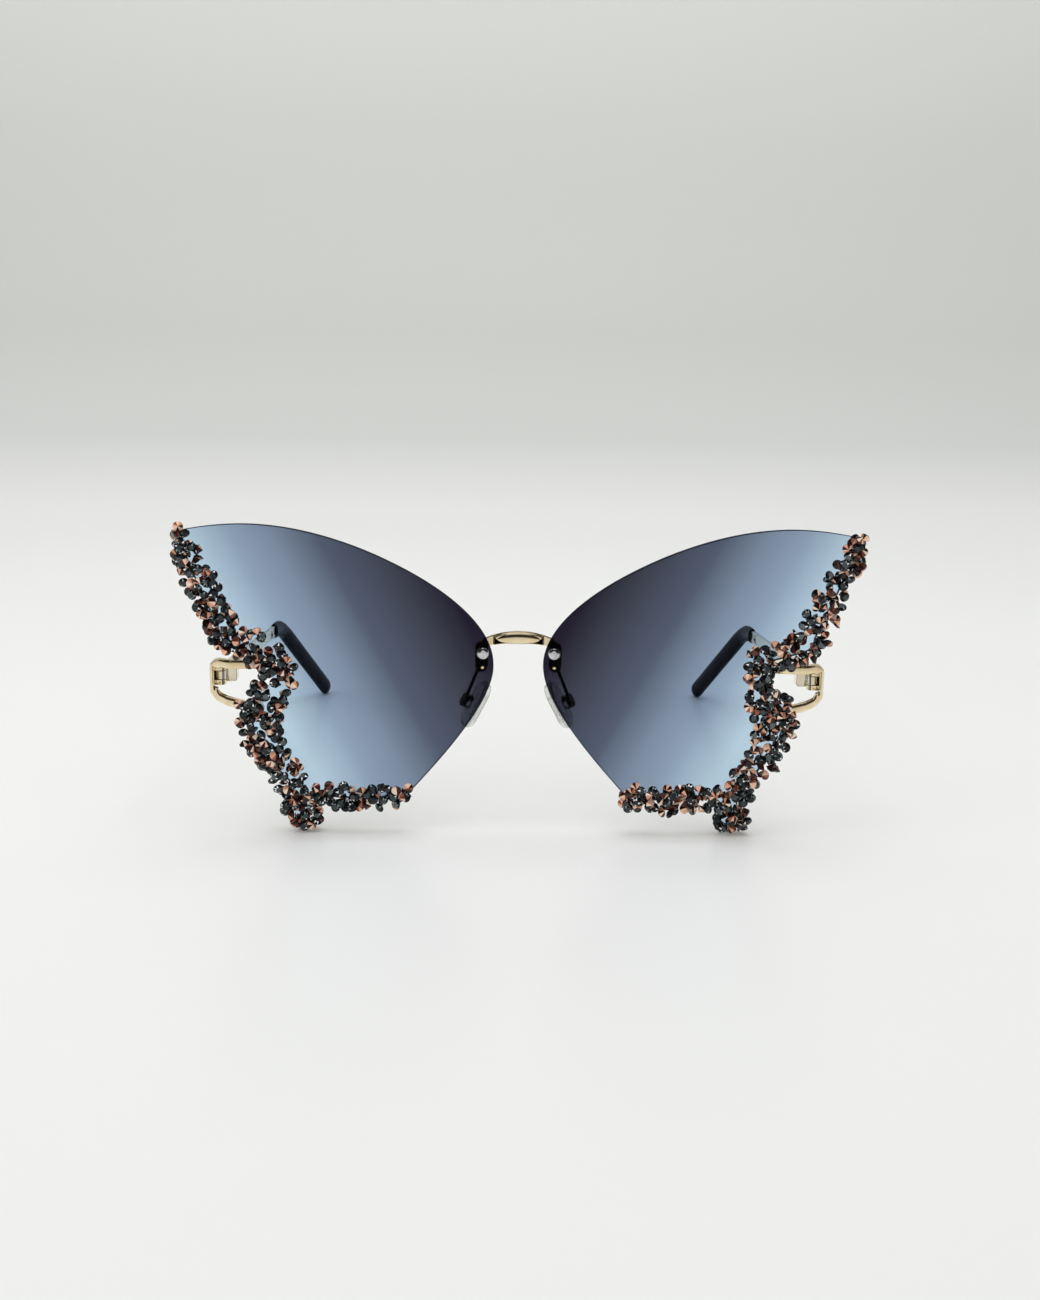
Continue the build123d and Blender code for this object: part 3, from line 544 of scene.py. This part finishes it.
def stone_islands(mesh):
    """The vertex places of each separate stone in a node's mesh, each place once."""
    parent = list(range(len(mesh.vertices)))

    def root(index):
        while parent[index] != index:
            parent[index] = parent[parent[index]]
            index = parent[index]
        return index

    first_at = {}
    for vertex in mesh.vertices:
        key = tuple(round(c / MERGE_DISTANCE) for c in vertex.co)
        parent[root(vertex.index)] = root(first_at.setdefault(key, vertex.index))
    for edge in mesh.edges:
        parent[root(edge.vertices[0])] = root(edge.vertices[1])
    groups = {}
    for index in first_at.values():
        groups.setdefault(root(index), []).append(mesh.vertices[index].co.copy())
    return list(groups.values())


def stone_pose(places):
    """Centre of the girdle, direction of the crown, and radius of one stone."""
    def loneliness(place):
        return min((place - other).length for other in places if other is not place)

    apex = max(places, key=loneliness)
    rest = [place for place in places if place is not apex]
    middle = sum(rest, Vector()) / len(rest)
    axis = (middle - apex).normalized()
    far = sorted(((place - apex).dot(axis), place) for place in rest)
    girdle = [place for _, place in far[:len(far) // 2]]
    centre = sum(girdle, Vector()) / len(girdle)
    radius = max((place - centre).length for place in girdle)
    return centre, axis, radius


def ring_points(count, radius, height, turn=0.0):
    """Points round the Z axis, turned by a share of the angle between two of them."""
    out = []
    for index in range(count):
        angle = math.tau * (index + turn) / count
        out.append(Vector((radius * math.cos(angle), radius * math.sin(angle), height)))
    return out


def cut_stone():
    """Points and facets of a stone of diameter 1: eight-fold crown, thin girdle, pointed back."""
    table = ring_points(CROWN_SIDES, TABLE_SHARE, CROWN_SHARE, HALF_SIDE)
    upper = ring_points(GIRDLE_SIDES, GIRDLE_RADIUS, GIRDLE_SHARE / 2)
    lower = ring_points(GIRDLE_SIDES, GIRDLE_RADIUS, -GIRDLE_SHARE / 2)
    points = table + upper + lower + [Vector((0, 0, -PAVILION_SHARE))]
    upper_at = CROWN_SIDES
    lower_at = upper_at + GIRDLE_SIDES
    tip = lower_at + GIRDLE_SIDES
    facets = [(tuple(range(CROWN_SIDES)), "table", 0)]
    for index in range(CROWN_SIDES):
        before = (index - 1) % CROWN_SIDES
        here = 2 * index
        ahead = (here + 1) % GIRDLE_SIDES
        behind = (here - 1) % GIRDLE_SIDES
        facets.append(((before, upper_at + here, index), "bezel", index))
        facets.append(((before, upper_at + behind, upper_at + here), "half", before))
        facets.append(((index, upper_at + here, upper_at + ahead), "half", index))
        facets.append(((tip, lower_at + here, lower_at + behind), "main", index))
        facets.append(((tip, lower_at + ahead, lower_at + here), "main", index))
    for index in range(GIRDLE_SIDES):
        after = (index + 1) % GIRDLE_SIDES
        corners = (upper_at + index, lower_at + index, lower_at + after, upper_at + after)
        facets.append((corners, "girdle", 0))
    return points, facets


def facet_tones_with_reflections(chance):
    """Tone of each facet of one stone, its own colour with painted reflections: mostly dark, some
    light, a few white painted glints.
    """
    tones = {("table", 0): chance.uniform(*TABLE_TONES), ("girdle", 0): GIRDLE_TONE}
    for index in range(CROWN_SIDES):
        # Painted highlight: some of the crown's side facets are painted white as glints
        glint = chance.random() < PAINTED_GLINT_SHARE
        tones["bezel", index] = PAINTED_GLINT_TONE if glint else chance.choice(BEZEL_TONES)
        tones["half", index] = chance.uniform(*HALF_TONES)
        tones["main", index] = chance.choice(MAIN_TONES)
    return tones


def lay_stone(mesh_data, cut, pose, chance):
    """Adds one cut stone, with the material and the tone of each of its facets, painted
    reflections included.
    """
    points, facets = cut
    centre, axis, radius = pose
    turn = axis.to_track_quat("Z", "Y").to_matrix()
    spin = Matrix.Rotation(chance.uniform(0, math.tau), 3, "Z")
    start = len(mesh_data["points"])
    for point in points:
        mesh_data["points"].append(centre + turn @ (spin @ (point * 2 * radius)))
    tones = facet_tones_with_reflections(chance)
    for corners, kind, index in facets:
        mesh_data["faces"].append([start + corner for corner in corners])
        mesh_data["materials"].append(1 if kind == "main" else 0)
        mesh_data["tones"].append(tones[kind, index])


def hull_corners():
    """Corners of a stone of diameter 1, with its thin girdle as one ring."""
    table = ring_points(CROWN_SIDES, TABLE_SHARE, CROWN_SHARE, HALF_SIDE)
    girdle = ring_points(GIRDLE_SIDES, GIRDLE_RADIUS, 0)
    return np.array(table + girdle + [Vector((0, 0, -PAVILION_SHARE))])


def hull_directions():
    """Directions that a stone's table, crown and back look in."""
    out = [(0, 0, 1), (0, 0, -1)]
    crown_slope = math.atan2(GIRDLE_RADIUS - TABLE_SHARE, CROWN_SHARE)
    back_slope = -math.atan2(GIRDLE_RADIUS, PAVILION_SHARE)
    for slope in (crown_slope, back_slope):
        flat = math.cos(slope)
        for index in range(CROWN_SIDES):
            angle = math.tau * index / CROWN_SIDES
            out.append((flat * math.cos(angle), flat * math.sin(angle), math.sin(slope)))
    return np.array(out)


class Hull:
    """A stone's corners and face directions in its place, for keeping stones apart."""

    def __init__(self, points, normals, pose):
        centre, axis, radius = pose
        turn = np.array(axis.to_track_quat("Z", "Y").to_matrix())
        self.pose = pose
        self.centre = np.array(centre)
        self.corners = points @ turn.T * (2 * radius) + self.centre
        self.normals = normals @ turn.T

    def moved(self, step):
        copy = Hull.__new__(Hull)
        centre, axis, radius = self.pose
        copy.pose = (centre + Vector(step), axis, radius)
        copy.centre = self.centre + step
        copy.corners = self.corners + step
        copy.normals = self.normals
        return copy

    def clear_of(self, other, gap):
        between = other.centre - self.centre
        axes = np.vstack([self.normals, other.normals, between / np.linalg.norm(between)])
        mine = self.corners @ axes.T
        theirs = other.corners @ axes.T
        ahead = theirs.min(axis=0) - mine.max(axis=0)
        behind = mine.min(axis=0) - theirs.max(axis=0)
        return bool((np.maximum(ahead, behind) > gap).any())


class Pile:
    """Stones heaped between and over the frame's own ones along one lens."""

    def __init__(self, side, chance):
        self.chance = chance
        self.points = hull_corners()
        self.normals = hull_directions()
        self.groups = {}
        self.hulls = []
        for group in CRYSTAL_GROUPS:
            name = f"crystals_{group}_{side}"
            poses = [stone_pose(places) for places in stone_islands(NODES[name].data)]
            self.groups[name] = poses
            self.hulls += [Hull(self.points, self.normals, pose) for pose in poses]
        self.centres = np.array([hull.centre for hull in self.hulls])
        self.widest = max(np.abs(hull.corners[:, 0]).max() for hull in self.hulls)

    def random_axis(self):
        """Way that the crown looks: often forwards, often back so that the point shows."""
        pick = self.chance.random()
        if pick < CROWN_FORWARD:
            look = self.chance.uniform(*CROWN_LOOKS)
        elif pick < CROWN_FORWARD + POINT_FORWARD:
            look = self.chance.uniform(*POINT_LOOKS)
        else:
            look = self.chance.uniform(-1, 1)
        angle = self.chance.uniform(0, math.tau)
        flat = math.sqrt(1 - look**2)
        return Vector((flat * math.cos(angle), look, flat * math.sin(angle)))

    def seated(self, x, z):
        """A stone that rests on the lens, or over a screw head, at a place in the front view."""
        axis = self.random_axis()
        start = Vector((x * MM, 0, z * MM))
        hull = Hull(self.points, self.normals, (start, axis, STONE_DIAMETER / 2 * MM))
        lift = SEAT_GAP
        if any(math.hypot(abs(x) - out, z - up) < TAB_CLEAR for out, up in TAB_SPOTS):
            lift += TAB_LIFT
        rests = [lens_front_at(c[0] / MM, c[2] / MM) * MM - c[1] for c in hull.corners]
        return hull.moved(np.array([0, min(rests) - lift * MM, 0]))

    def free(self, hull):
        """True above the ground, within the frame's width and clear of the other stones."""
        if hull.corners[:, 2].min() < GROUND_GAP * MM:
            return False
        if np.abs(hull.corners[:, 0]).max() > self.widest:
            return False
        near = np.linalg.norm(self.centres - hull.centre, axis=1) < STONE_DIAMETER * MM
        return all(hull.clear_of(self.hulls[n], PILE_GAP * MM) for n in np.nonzero(near)[0])

    def drop(self, name, x, z, reach):
        """Tries one stone near a place in the front view, as low in the heap as it fits."""
        angle = self.chance.uniform(0, math.tau)
        away = reach * math.sqrt(self.chance.random())
        hull = self.seated(x + away * math.cos(angle), z + away * math.sin(angle))
        for level in PILE_LEVELS:
            raised = hull.moved(np.array([0, -level * MM, 0]))
            if self.free(raised):
                self.hulls.append(raised)
                self.centres = np.vstack([self.centres, raised.centre])
                self.groups[name].append(raised.pose)
                break

    def cover_heads(self):
        """Stones over the screw heads of the end piece, in the group that lies nearest."""
        def nearest_stone(name):
            return min((pose[0] - spot).length for pose in self.groups[name])

        for out, up in TAB_SPOTS:
            x = math.copysign(out, self.centres[0][0])
            spot = Vector((x * MM, FRONT, up * MM))
            name = min(self.groups, key=nearest_stone)
            for _ in range(TAB_STONES):
                self.drop(name, x, up, TAB_REACH)

    def heap(self, name):
        """Stones round those that one group has so far."""
        poses = list(self.groups[name])
        for _ in range(PILE_TRIES):
            centre = self.chance.choice(poses)[0]
            self.drop(name, centre.x / MM, centre.z / MM, PILE_REACH)

    def heap_all(self):
        self.cover_heads()
        for name in self.groups:
            self.heap(name)
        return self.groups


def make_crystals(node, poses, materials, cut, chance):
    """The cut stones of one group: the frame's own ones and those heaped on them."""
    data = {"points": [], "faces": [], "materials": [], "tones": []}
    for pose in poses:
        lay_stone(data, cut, pose, chance)
    mesh = bpy.data.meshes.new(node + "_cut")
    mesh.from_pydata(data["points"], [], data["faces"])
    for material in materials:
        mesh.materials.append(material)
    mesh.polygons.foreach_set("material_index", data["materials"])
    tone = mesh.attributes.new("tone", "FLOAT", "FACE")
    tone.data.foreach_set("value", data["tones"])
    mesh.update()
    piece = add_object(node + "_cut", mesh)
    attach(piece, "front")
    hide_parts(node)


def make_all_crystals():
    materials = (crown_material(), foil_material())
    cut = cut_stone()
    chance = random.Random(CHANCE_SEED)
    for side in SIDES:
        groups = Pile(side, chance).heap_all()
        for name, poses in groups.items():
            make_crystals(name, poses, materials, cut, chance)


# Rounded copies of the frame's solids


def front_edges(work):
    """Sharp edges of the forward faces of an end piece, short of its hinge block."""
    out = []
    for edge in work.edges:
        if len(edge.link_faces) != 2 or edge.calc_face_angle(0) < math.radians(SHARP_ANGLE):
            continue
        if max(vertex.co.y for vertex in edge.verts) > LOOP_DEEPEST * MM:
            continue
        if any(face.normal.y < -FORWARD_SHARE for face in edge.link_faces):
            out.append(edge)
    return out


def welded(name):
    """A copy of a node's solid with whole faces and joined corners, for rounding."""
    mesh = NODES[name].data.copy()
    baked = mesh.attributes.get("custom_normal")
    if baked:
        mesh.attributes.remove(baked)
    work = bmesh.new()
    work.from_mesh(mesh)
    bmesh.ops.remove_doubles(work, verts=work.verts, dist=WELD_DISTANCE * MM)
    flat = math.radians(FLAT_ANGLE)
    bmesh.ops.dissolve_limit(work, angle_limit=flat, verts=work.verts, edges=work.edges)
    return mesh, work


def stand_in(name, mesh, body, material):
    """The rounded copy as a piece that takes the node's place."""
    mesh.materials.clear()
    mesh.materials.append(material)
    smoothed(mesh)
    piece = add_object(name + "_rounded", mesh)
    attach(piece, body)
    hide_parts(name)
    return piece


def domed_loop(name, material):
    """An end piece whose loop is well rounded along its front."""
    mesh, work = welded(name)
    bmesh.ops.bevel(
        work,
        geom=front_edges(work),
        offset=LOOP_ROUNDING * MM,
        segments=LOOP_STEPS,
        profile=0.5,
        affect="EDGES",
        clamp_overlap=False,
    )
    bmesh.ops.triangulate(work, faces=work.faces)
    work.to_mesh(mesh)
    work.free()
    stand_in(name, mesh, "front", material)
    mesh.set_sharp_from_angle(angle=math.radians(SHARP_ANGLE))


def softened(name, body, width, material):
    """A copy of a solid with its sharp corners rounded, standing in its place."""
    mesh, work = welded(name)
    work.to_mesh(mesh)
    work.free()
    piece = stand_in(name, mesh, body, material)
    bevel = piece.modifiers.new("rounding", "BEVEL")
    bevel.width = width * MM
    bevel.segments = SOFT_STEPS
    bevel.limit_method = "ANGLE"
    bevel.angle_limit = math.radians(SHARP_ANGLE)
    bevel.use_clamp_overlap = False
    bevel.harden_normals = True


# Dome and oval plate


def shell(name, rings, body, material):
    """A closed round piece through rings of points, its last point at the middle of its crown."""
    points = [spot for ring in rings[:-1] for spot in ring] + rings[-1]
    sides = len(rings[0])
    faces = [tuple(reversed(range(sides)))]
    for level in range(len(rings) - 2):
        for index in range(sides):
            after = (index + 1) % sides
            near, far = level * sides, (level + 1) * sides
            faces.append((near + index, near + after, far + after, far + index))
    last = (len(rings) - 2) * sides
    for index in range(sides):
        faces.append((last + index, last + (index + 1) % sides, len(points) - 1))
    mesh = bpy.data.meshes.new(name)
    mesh.from_pydata(points, [], faces)
    mesh.materials.append(material)
    smoothed(mesh)
    mesh.set_sharp_from_angle(angle=math.radians(SHARP_ANGLE))
    piece = add_object(name, mesh)
    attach(piece, body)


def make_bridge_plate(material):
    """Crowned oval plate across the middle of the bridge."""
    corners = [vertex.co for vertex in NODES["bridge"].data.vertices]
    middle = [place for place in corners if abs(place.x) < PLATE_LENGTH / 4 * MM]
    height = max(place.z for place in middle) - PLATE_DROP * MM
    front = min(place.y for place in middle) + PLATE_SEAT * MM
    rings = []
    for step in range(PLATE_STEPS):
        turn = math.pi / 2 * step / PLATE_STEPS
        rise = math.sin(turn)
        size = math.cos(turn)
        ring = []
        for spot in ring_points(PLATE_SIDES, MM, 0):
            x = spot.x * PLATE_LENGTH / 2 * size
            z = height + spot.y * PLATE_HEIGHT / 2 * size - PLATE_ARCH * x**2 / MM
            ring.append(Vector((x, front - PLATE_CROWN * MM * rise, z)))
        rings.append(ring)
    rings.append([Vector((0, front - PLATE_CROWN * MM, height))])
    shell("bridge_oval_plate", rings, "front", material)


def make_dome(side, material):
    """Polished dome over the head of the bridge screw."""
    low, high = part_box(f"bridge_screw_{side}")
    x = (low.x + high.x) / 2
    z = (low.z + high.z) / 2
    out = lens_direction(x / MM, z / MM)
    foot = Vector((x, lens_front_at(x / MM, z / MM) * MM, z)) + out * DOME_FOOT * MM
    sizes = [(DOME_RADIUS, 0.0), (DOME_RADIUS, DOME_RIM)]
    for step in range(1, DOME_STEPS):
        angle = math.pi / 2 * step / DOME_STEPS
        sizes.append((DOME_RADIUS * math.cos(angle), DOME_RIM + DOME_CROWN * math.sin(angle)))
    turn = out.to_track_quat("Z", "Y").to_matrix()
    rings = []
    for radius, height in sizes:
        ring = ring_points(DOME_SIDES, radius * MM, height * MM)
        rings.append([foot + turn @ spot for spot in ring])
    rings.append([foot + turn @ Vector((0, 0, (DOME_RIM + DOME_CROWN) * MM))])
    shell(f"bridge_screw_dome_{side}", rings, "front", material)


# Dressing


def dress(material, *names):
    for name in names:
        mesh = NODES[name].data
        mesh.materials.clear()
        mesh.materials.append(material)


def dress_all():
    gold = metal_material(
        "gold_metal", srgb(244, 227, 190), srgb(232, 211, 170), roughness=0.10, grain=3.0)
    pale = metal_material(
        "temple_metal", srgb(238, 228, 206), srgb(228, 216, 190), roughness=0.16, grain=2.0)
    steel = metal_material(
        "screw_steel", srgb(222, 222, 224), srgb(200, 200, 204), roughness=0.08, grain=4.0)
    wire = metal_material(
        "arm_wire", srgb(70, 68, 66), srgb(50, 48, 47), roughness=0.14, grain=4.0)
    washer = clear_material("clear_washer", (0.93, 0.94, 0.94), roughness=0.08, ior=1.45)
    silicone = clear_material("pad_silicone", (0.93, 0.93, 0.92), roughness=0.22, ior=1.42)
    tip = tip_material()
    lens = lens_material()
    softened("bridge", "front", BRIDGE_ROUNDING, gold)
    make_bridge_plate(gold)
    for side in SIDES:
        temple = f"temple_{side}"
        domed_loop(f"endpiece_{side}", gold)
        softened(temple, temple, TEMPLE_ROUNDING, pale)
        make_dome(side, steel)
        dress(steel, f"bridge_screw_{side}", f"bridge_nut_{side}", f"endpiece_screws_{side}")
        dress(steel, f"endpiece_nuts_{side}", f"hinge_screw_{side}", f"nose_pad_screw_{side}")
        dress(wire, f"nose_pad_arm_{side}")
        dress(washer, f"bridge_washer_{side}", f"endpiece_washers_{side}")
        dress(silicone, f"nose_pad_{side}")
        dress(tip, f"temple_tip_{side}")
        dress(lens, f"lens_{side}")


# Stage


def floor_material():
    """Pale floor and backdrop with painted shade: greyer up the backdrop and darker towards the
    camera.
    """
    material, nodes = new_material("floor")
    place = nodes.place()
    axes = nodes.add("SeparateXYZ", Vector=place)
    height = nodes.maths("MULTIPLY", axes.outputs["Z"], MM)
    # Painted shade: the floor darkens towards the camera
    near_painted_shade = nodes.remap(axes.outputs["Y"], NEAR_PAINTED_SHADE_AT, 0.0, NEAR_PAINTED_SHADE, 1.0)
    stains = nodes.noise(place, scale=0.01, detail=2)
    nodes.surface(nodes.principled(
        # Painted shade: the height ramp's colour, darkened towards the camera
        Base_Color=nodes.blend(near_painted_shade, BLACK, nodes.ramp(height, BACKDROP_PAINTED_SHADE_STOPS)),
        Roughness=nodes.spread(stains, 0.28, 0.36),
        Specular_IOR_Level=0.3,
    ))
    return material


def make_floor():
    """Floor and backdrop in one swept sheet."""
    profile = [(FLOOR_NEAR, 0.0)]
    for index in range(SWEEP_STEPS + 1):
        angle = math.pi / 2 * index / SWEEP_STEPS
        y = FLOOR_FAR + SWEEP_RADIUS * math.sin(angle)
        profile.append((y, SWEEP_RADIUS * (1 - math.cos(angle))))
    profile.append((FLOOR_FAR + SWEEP_RADIUS, BACKDROP_TOP))
    points = []
    faces = []
    for y, z in profile:
        points.append((-FLOOR_HALF_WIDTH, y, z))
        points.append((FLOOR_HALF_WIDTH, y, z))
    for index in range(len(profile) - 1):
        first = 2 * index
        faces.append((first, first + 1, first + 3, first + 2))
    mesh = bpy.data.meshes.new("floor")
    mesh.from_pydata(points, [], faces)
    mesh.materials.append(floor_material())
    smoothed(mesh)
    floor = add_object("floor", mesh)


def make_world():
    """Even pale surroundings; reflections show a dark room with a pale floor and ceiling."""
    world = bpy.data.worlds.new("studio")
    bpy.context.scene.world = world
    world.use_nodes = True
    nodes = Nodes(world.node_tree)
    direction = nodes.add("TexCoord").outputs["Generated"]
    axes = nodes.add("SeparateXYZ", Vector=direction)
    room = nodes.add("Background", Color=nodes.ramp(axes.outputs["Z"], ROOM_STOPS), Strength=1.0)
    plain = nodes.add("Background", Color=AMBIENT_COLOUR, Strength=AMBIENT_STRENGTH)
    reflected = nodes.add("LightPath").outputs["Is Glossy Ray"]
    shader = nodes.mix_shaders(
        reflected, plain.outputs["Background"], room.outputs["Background"])
    nodes.add("OutputWorld", Surface=shader)


def add_lamp(name, place, target, size, power):
    data = bpy.data.lights.new(name, "AREA")
    data.shape = "RECTANGLE"
    data.size, data.size_y = size
    data.energy = power
    lamp = add_object(name, data)
    lamp.visible_glossy = False
    lamp.location = place
    lamp.rotation_euler = (Vector(place) - Vector(target)).to_track_quat("Z", "Y").to_euler()


def make_lamps():
    add_lamp("overhead", place=(0.0, 0.05, 0.95), target=(0, 0, 0), size=(1.2, 0.8), power=4.4)
    add_lamp("side", place=(-0.9, -0.5, 0.7), target=(0, 0, 0.03), size=(0.6, 0.6), power=1.95)


make_camera()
make_world()
make_lamps()
make_floor()
dress_all()
make_all_crystals()
bpy.context.scene.view_settings.view_transform = "Standard"
